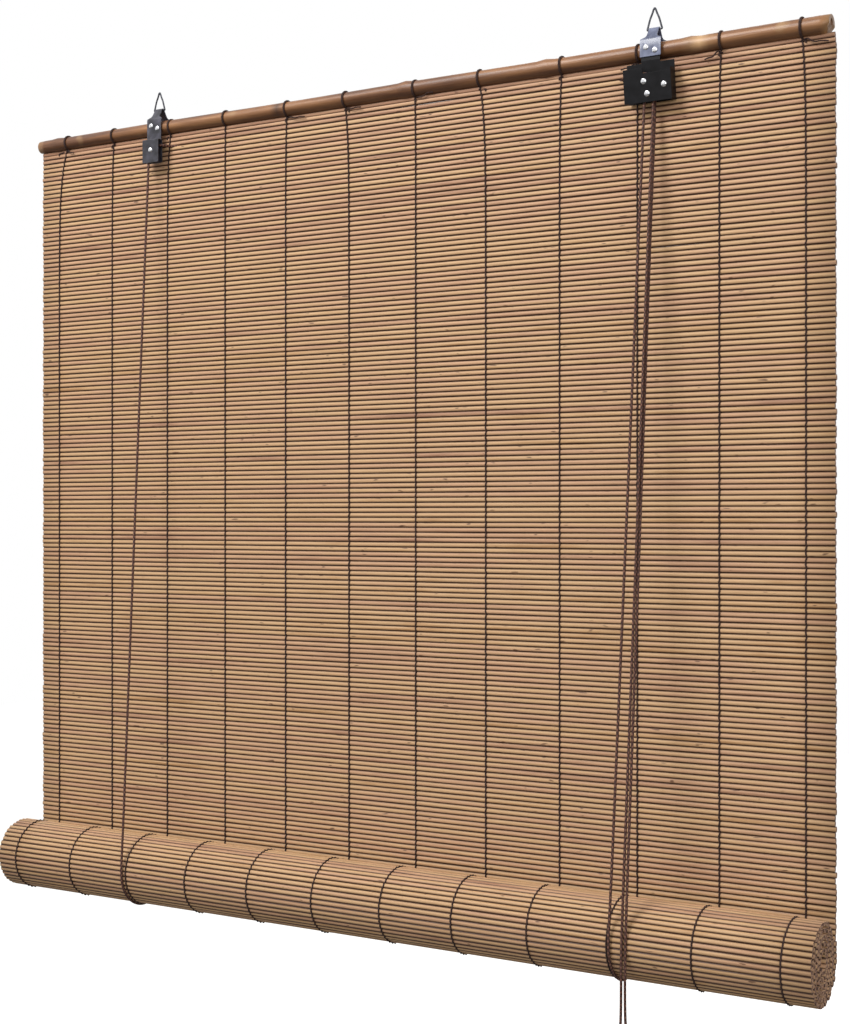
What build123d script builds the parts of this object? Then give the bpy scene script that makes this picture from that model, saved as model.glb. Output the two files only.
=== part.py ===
from build123d import *
from math import cos, hypot, pi, radians, sin
import os

# The blind hangs from two wire rings. Heights here are measured from the axis of the
# bamboo head pole, and save() moves each piece so that the hooks' line is at z = 0.
HOOK_HEIGHT = 41.0

MAT_WIDTH = 1000.0
REED_PITCH = 5.345
REED_THICK = 4.6
REED_FLAT = 2.2
REED_NECK = 1.8
FIRST_REED_Z = -14.9
FLAT_REEDS = 160
ROLLED_REEDS = 150

POLE_LEFT_X, POLE_RIGHT_X = -503.0, 496.0
POLE_LEFT_R, POLE_RIGHT_R = 7.6, 9.7
CULM_NODE_X = [-472.0, -303.0, -134.0, 31.0, 200.0, 359.0]
CULM_KINK = 0.7
CULM_RIDGE = 1.1
CULM_RIDGE_WIDE = 3.0
CULM_BORE_R = 2.6

THREAD_PITCH = 85.8
THREAD_COUNT = 12
THREAD_WIDE = 1.6
THREAD_THICK = 0.8
LASHING_X = [-458, -383, -295, -214, -127, -48, 42, 121.5, 217, 301.5, 388, 468]
LASHING_THICK = 1.1
LASHING_WIDE = 2.0
LASHING_SIDES = 10
LASHING_LINK = 1.8

GAP_HEIGHT = 0.7
GAP_EVERY = 32
GAP_MARGIN = 6.0

TURN_PITCH = 5.9
ROLL_R = 37.2
ROLL_CLEAR = 0.3
CORD_GAP = 0.3

SHEET = 1.0
LEFT_X, RIGHT_X = -314.0, 318.0
RING_Z = 22.0
RING_WIRE_R = 1.0
RING_WIDE = 15.4
TAB_WIDE = 10.8
TENT_Z = 9.5
TIE_Z = -15.0
WIRE_PLAY = 0.06

CORD_R = 1.35
RIVET_R = 1.75
RIVET_HOLE_R = 1.8
RIVET_SIDES = 8
RIVET_HEAD_R = 3.0
RIVET_HEAD_H = 1.2
REAR_HEAD_H = 0.8
BORE_PLAY = 0.06
GROOVE_PLAY = 0.1

PULLEY_X, PULLEY_Z = -313.0, -28.0
PULLEY_GROOVE_R = 3.65
PULLEY_RIM_R = 6.2
GROOVE_WIDE = 3.6
HOUSING_DEEP = 6.0
WHEEL_PLAY = 0.4

LOCK_LEAN = 8.0
LOCK_BEND_Z = -12.0
LOCK_LEFT_X, LOCK_RIGHT_X = 292.6, 342.7
LOCK_DEEP = 10.0
LOCK_BOTTOM = 39.7
LOCK_PULLEY = (314.0, 19.5)
LOCK_ROLLER = (317.0, 31.6)
LOCK_CAM = (335.0, 24.6)
LOCK_GROOVE_R = 6.25
LOCK_RIM_R = 8.0
ROLLER_R = 3.2
GROOVE_BACK, GROOVE_FRONT = 3.6, 8.4
CAM_REACH = 11.9
CAM_TEETH = 9
TOOTH = 0.7

SLING_LEFT_X, SLING_RIGHT_X = -305.0, 303.5
SLING_STRETCHES = 10
PULL_X = [316.5, 320.5]
CROSS_LEFT_X, CROSS_RIGHT_X = -296.5, 286.0
CROSS_Y = 5.2
HANK_TOP, HANK_TALL, HANK_WIDE, HANK_DEEP = -962.0, 64.0, 33.0, 11.5
HANK_TIE_TALL, HANK_TIE_THICK = 8.0, 1.2
END_KNOT_R, END_KNOT_TALL, END_STEM_R, END_STEM = 4.6, 8.0, 2.2, 16.0
TIE_KNOT_R, TIE_KNOT_LONG = 2.6, 3.4
TIE_BEND, MAT_BEND, LOCK_ENTRY_BEND = 3.0, 4.0, 6.0

roll_z = FIRST_REED_Z - FLAT_REEDS * REED_PITCH
roll_y = -ROLL_R
reed_half = REED_THICK / 2
sling_r = hypot(ROLL_R + reed_half, REED_FLAT / 2) + ROLL_CLEAR + CORD_R
thread_x = [(i - (THREAD_COUNT - 1) / 2) * THREAD_PITCH for i in range(THREAD_COUNT)]


def save(name, shape):
    os.makedirs("parts", exist_ok=True)
    shape = Pos(0, 0, -HOOK_HEIGHT) * shape
    shape.label = name
    export_step(shape, f"parts/{name}.step")


def pole_radius(x):
    """The culm's radius at x. It tapers in steps: each internode is as thick as at its middle."""
    ends = [POLE_LEFT_X] + CULM_NODE_X + [POLE_RIGHT_X]
    left, right = next(pair for pair in zip(ends, ends[1:]) if x <= pair[1])
    share = ((left + right) / 2 - POLE_LEFT_X) / (POLE_RIGHT_X - POLE_LEFT_X)
    return POLE_LEFT_R + share * (POLE_RIGHT_R - POLE_LEFT_R)


def along_x(outline, x, length):
    """Extrude an outline of (y, z) points along the blind's width, starting at x."""
    face = make_face(Polyline(*[(x, y, z) for y, z in outline], close=True))
    return extrude(face, amount=length, dir=(1, 0, 0))


def rod_x(radius, x, y, z, length):
    return Pos(x + length / 2, y, z) * Rot(0, 90, 0) * Cylinder(radius, length)


def rod_y(radius, x, y, z, length):
    return Pos(x, y + length / 2, z) * Rot(90, 0, 0) * Cylinder(radius, length)


# The culm grows straight between its nodes and turns a little at each one, where a swollen
# ridge runs round it. It is hollow from each cut end to the first node.
def head_pole():
    bends = [POLE_LEFT_X] + CULM_NODE_X + [POLE_RIGHT_X]
    points = []
    for i, x in enumerate(bends):
        side = 1 if i % 2 else -1
        points.append(Vector(x, 0, side * CULM_KINK / 2))
    pole = None
    for start, end in zip(points, points[1:]):
        along = Plane(origin=(start + end) / 2, z_dir=end - start)
        internode = along * Cylinder(pole_radius(end.X), (end - start).length)
        pole = internode if pole is None else pole + internode
    for node in points[1:-1]:
        r = pole_radius(node.X)
        pole += Pos(node.X, 0, node.Z) * Rot(0, 90, 0) * Cylinder(r + CULM_RIDGE, CULM_RIDGE_WIDE)
    left_bore = rod_x(CULM_BORE_R, POLE_LEFT_X - 1, 0.6, points[0].Z, 30)
    right_bore = rod_x(CULM_BORE_R, POLE_RIGHT_X - 79, -0.8, points[-1].Z + 2.2, 80)
    pole -= left_bore + right_bore
    for x in (LEFT_X, RIGHT_X):
        for rivet_x, rivet_z in strap_rivet_places(x):
            pole -= rod_y(RIVET_HOLE_R, rivet_x, -30, rivet_z, 60)
    # The right end is cut off at a slant below the bore.
    slant = Pos(POLE_RIGHT_X + 3.2, 0, points[-1].Z - 9) * Rot(0, -24, 0) * Box(10, 40, 30)
    return pole - slant


def reed_chain(count, place):
    """Outline of a run of reeds tied side by side. place(i) gives a reed's centre, the way
    the run goes and its outward side, all as (y, z)."""
    outer, inner = [], []
    for i in range(count):
        (y, z), (ty, tz), (ny, nz) = place(i)
        for share in (-1, 1):
            a = share * REED_FLAT / 2
            outer.append((y + a * ty + reed_half * ny, z + a * tz + reed_half * nz))
            inner.append((y + a * ty - reed_half * ny, z + a * tz - reed_half * nz))
        (y, z), (ty, tz), (ny, nz) = place(i + 0.5)
        outer.append((y + REED_NECK / 2 * ny, z + REED_NECK / 2 * nz))
        inner.append((y - REED_NECK / 2 * ny, z - REED_NECK / 2 * nz))
    (y, z), _, (ny, nz) = place(-0.5)
    first_outer = (y + REED_NECK / 2 * ny, z + REED_NECK / 2 * nz)
    first_inner = (y - REED_NECK / 2 * ny, z - REED_NECK / 2 * nz)
    return [first_outer] + outer + inner[::-1] + [first_inner]


def on_flat(i):
    return (0, FIRST_REED_Z - i * REED_PITCH), (0, -1), (1, 0)


def wound_radius(angle):
    """Each turn is round for three quarters and steps in under the next in the last quarter."""
    turn = int(angle // (2 * pi))
    share = (angle - 2 * pi * turn - 1.5 * pi) / (0.5 * pi)
    share = max(0.0, share)
    return ROLL_R - TURN_PITCH * (turn + share * share * (3 - 2 * share))


def wound_angles():
    """The winding angle of every half pitch along the rolled mat, from the tangent inwards."""
    angles, angle = [], 0.0
    for _ in range(2 * ROLLED_REEDS + 2):
        angles.append(angle)
        angle += REED_PITCH / 2 / wound_radius(angle)
    return angles


winding = wound_angles()


def on_roll(i):
    if i < 0:
        return (0, roll_z - i * REED_PITCH), (0, -1), (1, 0)
    angle = winding[round(2 * i)]
    r = wound_radius(angle)
    centre = (roll_y + r * cos(angle), roll_z - r * sin(angle))
    return centre, (-sin(angle), -cos(angle)), (cos(angle), -sin(angle))


# The mat: round reeds laid close, with the daylight gaps between the threads opened in
# every thirty-second joint and one opening at each place where the cross cord goes through.
def reed_mat():
    mat = along_x(reed_chain(FLAT_REEDS, on_flat), -MAT_WIDTH / 2, MAT_WIDTH)
    gaps = []
    for row in range(GAP_EVERY // 2, FLAT_REEDS, GAP_EVERY):
        z = FIRST_REED_Z - (row + 0.5) * REED_PITCH
        for left, right in zip(thread_x, thread_x[1:]):
            wide = right - left - 2 * GAP_MARGIN
            gaps.append(Pos((left + right) / 2, 0, z) * Box(wide, 2 * REED_THICK, GAP_HEIGHT))
    for x, z in ((CROSS_LEFT_X, cross_left_z), (CROSS_RIGHT_X, cross_right_z)):
        gaps.append(Pos(x, 0, z) * Box(4.4, 2 * REED_THICK, 4.2))
    return mat - gaps


def mat_roll():
    return along_x(reed_chain(ROLLED_REEDS, on_roll), -MAT_WIDTH / 2, MAT_WIDTH)


# Warp threads: each is a pair of strands, one on either face of the flat mat, that meet
# above the first reed. On the roll only the outer strand of the last turn is seen.
def warp_thread(x):
    top = FIRST_REED_Z + REED_PITCH / 2 + THREAD_THICK
    bottom = roll_z + REED_PITCH / 2
    near, far = reed_half, reed_half + THREAD_THICK
    outline = [(-far, bottom), (-far, top), (far, top), (far, bottom), (near, bottom),
               (near, top - THREAD_THICK), (-near, top - THREAD_THICK), (-near, bottom)]
    return along_x(outline, x - THREAD_WIDE / 2, THREAD_WIDE)


def roll_thread(x):
    steps, first, span = 16, 4, 334
    chord = cos(radians(span / steps / 2))
    outer, inner = [], []
    for i in range(steps + 1):
        angle = radians(first + span * i / steps)
        r = hypot(wound_radius(angle) + reed_half, REED_FLAT / 2) / chord + 0.2
        high = r + THREAD_THICK / 2
        outer.append((roll_y + high * cos(angle), roll_z - high * sin(angle)))
        inner.append((roll_y + r * cos(angle), roll_z - r * sin(angle)))
    return along_x(outer + inner[::-1], x - THREAD_WIDE / 2, THREAD_WIDE)


# Each lashing is the thread's own end: round the pole, knotted under it and led to the
# first reed.
def lashing(x, thread):
    r = (pole_radius(x) + CULM_KINK / 2 + 0.1) / cos(pi / LASHING_SIDES)
    across = Plane(origin=(x - LASHING_WIDE / 2, 0, 0), z_dir=(1, 0, 0))
    band = RegularPolygon(r + LASHING_THICK, LASHING_SIDES) - RegularPolygon(r, LASHING_SIDES)
    loop = extrude(across * band, amount=LASHING_WIDE)
    top = FIRST_REED_Z + REED_PITCH / 2 + THREAD_THICK
    link = loft([Pos(x, 0, 0.6 - r - LASHING_THICK) * Rectangle(LASHING_LINK, LASHING_LINK),
                 Pos(thread, 0, top) * Rectangle(THREAD_WIDE, THREAD_WIDE)])
    return loop + link


def side_plane(x):
    return Plane(origin=(x, 0, 0), x_dir=(0, 1, 0), z_dir=(1, 0, 0))


def tent(front, rear, wire_r, foot_front, foot_rear):
    """Side outline (y, z) of a strip folded over the ring's wire and down both sides of the pole."""
    hull = make_hull([*(Pos(0, RING_Z) * Circle(wire_r)).edges(), Line((-front, TENT_Z), (rear, TENT_Z))])
    near_leg = Pos(-front / 2, (TENT_Z + foot_front) / 2) * Rectangle(front, TENT_Z - foot_front)
    far_leg = Pos(rear / 2, (TENT_Z + foot_rear) / 2) * Rectangle(rear, TENT_Z - foot_rear)
    return hull + near_leg + far_leg


# One strip of sheet steel, folded over the ring's wire: a narrow tab above the pole, and a
# plate on either side of it. The lift cord's fixed end passes through the rear plate.
def hanger_strap(x, front, rear, foot_front, foot_rear, plate_wide, tie_x, extra_rivets=()):
    fold_r = RING_WIRE_R + WIRE_PLAY
    inside = tent(front, rear, fold_r, foot_front - 5, foot_rear - 5)
    outside = tent(front + SHEET, rear + SHEET, fold_r + SHEET, foot_front, foot_rear)
    strip = extrude(side_plane(x - plate_wide / 2) * (outside - inside), amount=plate_wide)
    low, shoulder, top = min(foot_front, foot_rear), 11.0, RING_Z + 3
    half, neck = plate_wide / 2, TAB_WIDE / 2
    shape = make_face(Polyline((-half, low), (-half, shoulder), (-neck - 1, shoulder + 2), (-neck, shoulder + 4),
                               (-neck, top), (neck, top), (neck, shoulder + 4), (neck + 1, shoulder + 2),
                               (half, shoulder), (half, low), close=True))
    face = Plane(origin=(x, 40, 0), x_dir=(1, 0, 0), z_dir=(0, -1, 0))
    strip &= extrude(face * shape, amount=80)
    for rivet_x, rivet_z in [*strap_rivet_places(x), *extra_rivets]:
        strip -= rod_y(RIVET_HOLE_R, rivet_x, -30, rivet_z, 60)
    return strip - rod_y(CORD_R + 0.3, tie_x, 0, TIE_Z, 30)


def strap_rivet_places(x):
    return [(x - 4.6, 2.4), (x + 4.8, -1.4)]


def rivet(length):
    """A rivet on the z axis from 0 to its length, its set head at 0 and its made head beyond."""
    shank = extrude(RegularPolygon(RIVET_R, RIVET_SIDES), amount=length)
    set_head = extrude(RegularPolygon(RIVET_HEAD_R, RIVET_SIDES), amount=-REAR_HEAD_H)
    made_head = Pos(0, 0, length) * extrude(RegularPolygon(RIVET_HEAD_R, RIVET_SIDES), amount=RIVET_HEAD_H)
    return shank + set_head + made_head


def rivet_y(x, z, rear, front):
    """A rivet through plates from y = rear to y = front, with its made head at the front."""
    return Pos(x, rear, z) * Rot(90, 0, 0) * rivet(rear - front)


# Two rivets hold each strap, through both its plates and the culm between them.
def strap_rivets():
    rivets = []
    for x, front, rear in ((LEFT_X, left_front, left_rear), (RIGHT_X, right_front, right_rear)):
        for rivet_x, rivet_z in strap_rivet_places(x):
            rivets.append(rivet_y(rivet_x, rivet_z, rear + SHEET, -front - SHEET))
    return rivets


def pulley_rivet():
    return rivet_y(PULLEY_X, PULLEY_Z, -left_front, -left_front - 3 * SHEET - HOUSING_DEEP)


def lock_rivets():
    return [in_lock(x, down) * rivet(LOCK_DEEP + 2 * SHEET) for x, down in (LOCK_PULLEY, LOCK_ROLLER, LOCK_CAM)]


# Ring: a triangle of round wire whose foot lies in the strap's fold.
def ring(x):
    half = RING_WIDE / 2
    wire = Polyline((x, 0, RING_Z), (x + half, 0, RING_Z), (x, 0, HOOK_HEIGHT + 5.2), (x - half, 0, RING_Z), close=True)
    start = Plane(origin=wire @ 0, z_dir=wire % 0)
    return sweep(start * Circle(RING_WIRE_R), path=wire, transition=Transition.RIGHT)


# Pulley housing: one bent sheet, closed at the front, the top and the back, with the wheel
# between its cheeks. The cord comes in from below and leaves at the right.
def pulley_housing():
    back = -left_front - SHEET
    front = back - 2 * SHEET - HOUSING_DEEP
    top, bottom, wide = -15.6, -43.0, 24.0
    middle = (front + back) / 2
    outline = Pos(middle, (top + bottom) / 2) * Rectangle(back - front, top - bottom)
    hollow = Pos(middle, (top + bottom) / 2 - SHEET) * Rectangle(HOUSING_DEEP, top - bottom)
    sheet = extrude(side_plane(PULLEY_X - wide / 2) * (outline - hollow), amount=wide)
    sheet = fillet(sheet.edges().filter_by(Axis.X).group_by(Axis.Z)[-1], 0.9)
    corners = sheet.edges().filter_by(Axis.Y).group_by(Axis.Z)[0]
    sheet = fillet(corners, 2.0)
    return sheet - rod_y(RIVET_HOLE_R, PULLEY_X, front - 1, PULLEY_Z, 12)


def wheel(rim_r, groove_r, low, high, grooves):
    """A turned wheel on the z axis from low to high, bored for a rivet, with a groove for a
    cord at each of the heights in grooves."""
    bore_r = RIVET_R + BORE_PLAY
    points = [(bore_r, low), (rim_r, low)]
    for height in grooves:
        below, above = height - GROOVE_WIDE / 2, height + GROOVE_WIDE / 2
        points += [(rim_r, below), (groove_r, below), (groove_r, above), (rim_r, above)]
    points += [(rim_r, high), (bore_r, high)]
    return revolve(Plane.XZ * make_face(Polyline(*points, close=True)), Axis.Z)


def pulley_wheel():
    half = HOUSING_DEEP / 2 - WHEEL_PLAY
    turned = wheel(PULLEY_RIM_R, PULLEY_GROOVE_R, -half, half, [0])
    return Pos(PULLEY_X, left_cord_y, PULLEY_Z) * Rot(90, 0, 0) * turned


def in_lock(x, down, out=0.0):
    """A place in the lock: down along its leaning back plate and out from it."""
    return lock_plane * Pos(x, -down, out)


def lock_point(x, down, out):
    return in_lock(x, down, out).position


# Cord lock: a folded sheet that hangs from a tongue under the strap. The back plate, the
# right wall and the stepped front plate are one piece, open below and at the left.
def lock_housing():
    left, right, bottom = LOCK_LEFT_X, LOCK_RIGHT_X, LOCK_BOTTOM
    back = in_lock((left + right) / 2, (bottom + 1) / 2) * extrude(Rectangle(right - left, bottom - 1), amount=SHEET)
    wall = in_lock(right - SHEET / 2, (bottom + 9) / 2) * extrude(Rectangle(SHEET, bottom - 9),
                                                                amount=LOCK_DEEP + 2 * SHEET)
    step = make_face(Polyline((left, -bottom), (left, -6.4), (313.0, -6.4), (313.0, -11.8), (right, -11.8),
                              (right, -bottom), close=True))
    front = lock_plane * Pos(0, 0, LOCK_DEEP + SHEET) * extrude(step, amount=SHEET)
    bend = lock_plane * Pos(RIGHT_X, 0) * extrude(Rectangle(20, 3), amount=SHEET)
    upright = Pos(RIGHT_X, -pole_front - SHEET / 2, (LOCK_BEND_Z + 6) / 2) * Box(20, SHEET, 6 - LOCK_BEND_Z)
    housing = back + wall + front + bend + upright
    for x, down in (LOCK_PULLEY, LOCK_ROLLER, LOCK_CAM):
        housing -= in_lock(x, down, LOCK_DEEP / 2) * Cylinder(RIVET_HOLE_R, 2 * LOCK_DEEP)
    for rivet_x, rivet_z in strap_rivet_places(RIGHT_X):
        housing -= rod_y(RIVET_HOLE_R, rivet_x, -30, rivet_z, 60)
    return housing


def lock_pulley():
    low, high = SHEET + WHEEL_PLAY, SHEET + LOCK_DEEP - WHEEL_PLAY
    return in_lock(*LOCK_PULLEY) * wheel(LOCK_RIM_R, LOCK_GROOVE_R, low, high, [GROOVE_BACK, GROOVE_FRONT])


def guide_roller():
    tube = Cylinder(ROLLER_R, LOCK_DEEP - 2 * WHEEL_PLAY) - Cylinder(RIVET_R + BORE_PLAY, 2 * LOCK_DEEP)
    return in_lock(*LOCK_ROLLER, SHEET + LOCK_DEEP / 2) * tube


# Locking cam: a steel sector on the right rivet, whose saw teeth lie against the two
# pull cords and bite when the blind's weight draws them up.
def lock_cam():
    first, last = radians(166), radians(214)
    points = [(4.2 * cos(radians(a)), 4.2 * sin(radians(a))) for a in (250, 300, 350, 40, 90, 120)]
    for i in range(CAM_TEETH):
        share = i / CAM_TEETH
        angle = first + (last - first) * share
        reach = CAM_REACH - 1.0 * (1 - share)
        step = (last - first) / CAM_TEETH
        points.append(((reach - TOOTH) * cos(angle), (reach - TOOTH) * sin(angle)))
        points.append((reach * cos(angle + 0.8 * step), reach * sin(angle + 0.8 * step)))
    outline = make_face(Polyline(*points, close=True))
    thick = LOCK_DEEP - 2 * WHEEL_PLAY
    cam = extrude(outline, amount=thick) - Cylinder(RIVET_R + BORE_PLAY, 4 * thick)
    return in_lock(*LOCK_CAM, SHEET + WHEEL_PLAY) * cam


def tube(path):
    """A cord along the path, six-sided so that its bends stay light."""
    start = Plane(origin=path @ 0, z_dir=path % 0)
    return sweep(start * RegularPolygon(CORD_R, 6), path=path, transition=Transition.RIGHT)


# Lift cords: from the roll's front up to the pulley or the lock.
def front_cord_left():
    top = Vector(PULLEY_X - pulley_reach, left_cord_y, PULLEY_Z)
    return tube(Line(Vector(SLING_LEFT_X, roll_y - sling_r, roll_z + CORD_GAP), top))


def front_cord_right():
    return tube(Line(Vector(SLING_RIGHT_X, roll_y - sling_r, roll_z + CORD_GAP), right_cord_foot))


def sling(x):
    """The cord's way round the lower half of the roll, in straight stretches outside its circle."""
    points = [Vector(x, roll_y - sling_r, roll_z)]
    for i in range(SLING_STRETCHES):
        angle = pi * (i + 0.5) / SLING_STRETCHES
        r = sling_r / cos(pi / SLING_STRETCHES / 2)
        points.append(Vector(x, roll_y - r * cos(angle), roll_z - r * sin(angle)))
    points.append(Vector(x, roll_y + sling_r, roll_z))
    return tube(Polyline(*points))


def back_cord(x, rear):
    y = roll_y + sling_r
    path = FilletPolyline(Vector(x, y, roll_z + CORD_GAP), Vector(x, y, TIE_Z), Vector(x, rear + 4.0, TIE_Z),
                          radius=TIE_BEND)
    return tube(path) + rod_y(TIE_KNOT_R, x, rear + SHEET + 0.05, TIE_Z, TIE_KNOT_LONG)


def over_left_pulley():
    """From the pulley's left side over it, through the mat and along behind it to the lock."""
    reach = pulley_reach
    y, top = left_cord_y, PULLEY_Z + reach
    into_lock = lock_point(LOCK_PULLEY[0], LOCK_PULLEY[1] - lock_reach, GROOVE_BACK)
    below = lock_point(LOCK_PULLEY[0] + lock_reach, LOCK_BOTTOM, GROOVE_BACK)
    corner = lock_point(LOCK_PULLEY[0] + lock_reach, LOCK_PULLEY[1] - lock_reach, GROOVE_BACK)
    points = [Vector(PULLEY_X - reach, y, PULLEY_Z), Vector(PULLEY_X - reach, y, top),
              Vector(CROSS_LEFT_X, y, top), Vector(CROSS_LEFT_X, CROSS_Y, top),
              Vector(CROSS_RIGHT_X, CROSS_Y, into_lock.Z), Vector(CROSS_RIGHT_X, into_lock.Y, into_lock.Z),
              corner, below]
    radii = [reach - 0.05, MAT_BEND, MAT_BEND, MAT_BEND, MAT_BEND, lock_reach - 0.05]
    return tube(FilletPolyline(*points, radius=radii))


def over_lock_pulley():
    """The right cord's way through the lock: up past the roller, over the wheel and down."""
    x, down = LOCK_PULLEY
    points = [right_cord_foot, lock_point(x - lock_reach, down + 5.0, GROOVE_FRONT),
              lock_point(x - lock_reach, down - lock_reach, GROOVE_FRONT),
              lock_point(x + lock_reach, down - lock_reach, GROOVE_FRONT),
              lock_point(x + lock_reach, LOCK_BOTTOM, GROOVE_FRONT)]
    return tube(FilletPolyline(*points, radius=[LOCK_ENTRY_BEND, lock_reach - 0.05, lock_reach - 0.05]))


# Pull cords: down from the lock, over the front of the roll, and wound up in a tied hank.
def pull_cord(i):
    out = (GROOVE_FRONT, GROOVE_BACK)[i]
    start = lock_point(LOCK_PULLEY[0] + lock_reach, LOCK_BOTTOM, out)
    return tube(Line(start, Vector(PULL_X[i], roll_y - sling_r, roll_z + CORD_GAP)))


def pull_tail(i):
    y = roll_y - sling_r
    return tube(Line(Vector(PULL_X[i], y, roll_z), Vector(PULL_X[i], y, HANK_TOP)))


def hank():
    x, y = sum(PULL_X) / 2, roll_y - sling_r
    side = Plane(origin=(x, y + HANK_DEEP / 2, HANK_TOP - HANK_TALL / 2), x_dir=(1, 0, 0), z_dir=(0, -1, 0))
    return extrude(side * SlotOverall(HANK_TALL, HANK_WIDE, rotation=90), amount=HANK_DEEP)


def hank_tie():
    x, y = sum(PULL_X) / 2, roll_y - sling_r
    z = HANK_TOP - HANK_TALL / 2
    outer = Box(HANK_WIDE + 2 * HANK_TIE_THICK, HANK_DEEP + 2 * HANK_TIE_THICK, HANK_TIE_TALL)
    return Pos(x, y, z) * (outer - Box(HANK_WIDE, HANK_DEEP, 2 * HANK_TIE_TALL))


def end_knot():
    """Both cords' ends, knotted together under the hank."""
    x, y = sum(PULL_X) / 2, roll_y - sling_r
    z = HANK_TOP - HANK_TALL - END_STEM
    stem = Pos(x, y, z) * extrude(RegularPolygon(END_STEM_R, 6), amount=END_STEM)
    lump = Pos(0, 0, -END_KNOT_TALL / 2) * extrude(RegularPolygon(END_KNOT_R, 8), amount=END_KNOT_TALL)
    lump = chamfer(lump.edges().filter_by(GeomType.LINE).group_by(Axis.Z)[0], 1.8)
    lump = chamfer(lump.edges().group_by(Axis.Z)[-1], 1.8)
    return stem + Pos(x, y, z) * lump


left_front = left_rear = pole_radius(LEFT_X) + CULM_KINK / 2 + CULM_RIDGE + 0.2
pole_front = pole_radius(RIGHT_X) + CULM_KINK / 2 + 0.1
right_rear = pole_front
right_front = pole_front + SHEET
left_cord_y = -left_front - 2 * SHEET - HOUSING_DEEP / 2
pulley_reach = PULLEY_GROOVE_R + CORD_R + GROOVE_PLAY
lock_reach = LOCK_GROOVE_R + CORD_R + GROOVE_PLAY
lean = radians(LOCK_LEAN)
lock_plane = Plane(origin=(0, -pole_front, LOCK_BEND_Z), x_dir=(1, 0, 0), z_dir=(0, -cos(lean), -sin(lean)))
cross_left_z = PULLEY_Z + pulley_reach
cross_right_z = lock_point(0, LOCK_PULLEY[1] - lock_reach, GROOVE_BACK).Z
right_cord_foot = lock_point(LOCK_ROLLER[0] - ROLLER_R - CORD_R - 0.3, LOCK_BOTTOM, GROOVE_FRONT)

save("head_pole", head_pole())
save("reed_mat", reed_mat())
save("mat_roll", mat_roll())
for i, x in enumerate(thread_x):
    save(f"warp_thread_{i + 1:02d}", warp_thread(x))
    save(f"roll_thread_{i + 1:02d}", roll_thread(x))
save("pole_lashings", Compound(children=[lashing(x, t) for x, t in zip(LASHING_X, thread_x)]))
save("left_hanger_strap", hanger_strap(LEFT_X, left_front, left_rear, -33.0, -20.0, 21.0, SLING_LEFT_X,
                                      [(PULLEY_X, PULLEY_Z)]))
save("right_hanger_strap", hanger_strap(RIGHT_X, right_front, right_rear, -7.0, -20.0, 22.0, SLING_RIGHT_X))
save("rivets", Compound(children=[*strap_rivets(), pulley_rivet(), *lock_rivets()]))
save("left_ring", ring(LEFT_X))
save("right_ring", ring(RIGHT_X))
save("pulley_housing", pulley_housing())
save("pulley_wheel", pulley_wheel())
save("lock_housing", lock_housing())
save("lock_pulley", lock_pulley())
save("guide_roller", guide_roller())
save("lock_cam", lock_cam())
save("lift_cord_left_front", front_cord_left())
save("lift_cord_left_sling", sling(SLING_LEFT_X))
save("lift_cord_left_back", back_cord(SLING_LEFT_X, left_rear))
save("lift_cord_left_cross", over_left_pulley())
save("lift_cord_right_front", front_cord_right())
save("lift_cord_right_sling", sling(SLING_RIGHT_X))
save("lift_cord_right_back", back_cord(SLING_RIGHT_X, right_rear))
save("lift_cord_right_top", over_lock_pulley())
for i in range(2):
    save(f"pull_cord_{i + 1}", pull_cord(i))
    save(f"pull_tail_{i + 1}", pull_tail(i))
save("pull_cord_hank", hank())
save("hank_tie", hank_tie())
save("pull_cord_knot", end_knot())

bends = {"slings round the roll": sling_r, "over the pulley": pulley_reach - 0.05,
         "over the lock's wheel": lock_reach - 0.05, "through the mat": MAT_BEND, "at the ties": TIE_BEND,
         "into the lock": LOCK_ENTRY_BEND}
print("Cord radius", CORD_R, "mm; bend radii:", {name: round(radius, 2) for name, radius in bends.items()})
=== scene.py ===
import bpy
import math
import random
from mathutils import Matrix, Vector


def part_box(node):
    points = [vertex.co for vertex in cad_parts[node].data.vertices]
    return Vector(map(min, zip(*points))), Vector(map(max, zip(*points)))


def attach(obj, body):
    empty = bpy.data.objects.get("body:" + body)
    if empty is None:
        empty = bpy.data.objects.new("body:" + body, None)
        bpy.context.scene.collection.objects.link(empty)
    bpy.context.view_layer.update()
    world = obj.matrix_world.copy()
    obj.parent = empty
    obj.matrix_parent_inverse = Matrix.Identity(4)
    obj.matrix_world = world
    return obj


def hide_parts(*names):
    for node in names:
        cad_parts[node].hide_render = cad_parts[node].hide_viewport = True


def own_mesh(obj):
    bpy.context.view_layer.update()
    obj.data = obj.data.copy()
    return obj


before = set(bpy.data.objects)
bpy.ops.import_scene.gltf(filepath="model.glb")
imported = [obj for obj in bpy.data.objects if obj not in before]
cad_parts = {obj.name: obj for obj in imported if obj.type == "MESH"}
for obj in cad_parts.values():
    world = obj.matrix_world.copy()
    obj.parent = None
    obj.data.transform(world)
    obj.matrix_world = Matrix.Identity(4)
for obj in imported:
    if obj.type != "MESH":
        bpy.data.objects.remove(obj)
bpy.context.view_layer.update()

# Camera: at the photograph's place, to the right of the blind and half a metre below its pole,
# looking left along it. The horizon lies a little below the middle of the picture.
PHOTO_TALL_PX = 1024
FOCAL_PX = 1634
CAMERA_PLACE = (0.9516, -1.5061, -0.5017)
CAMERA_YAW = math.radians(30.82)
HORIZON_BELOW_CENTRE_PX = 5.0

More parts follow.
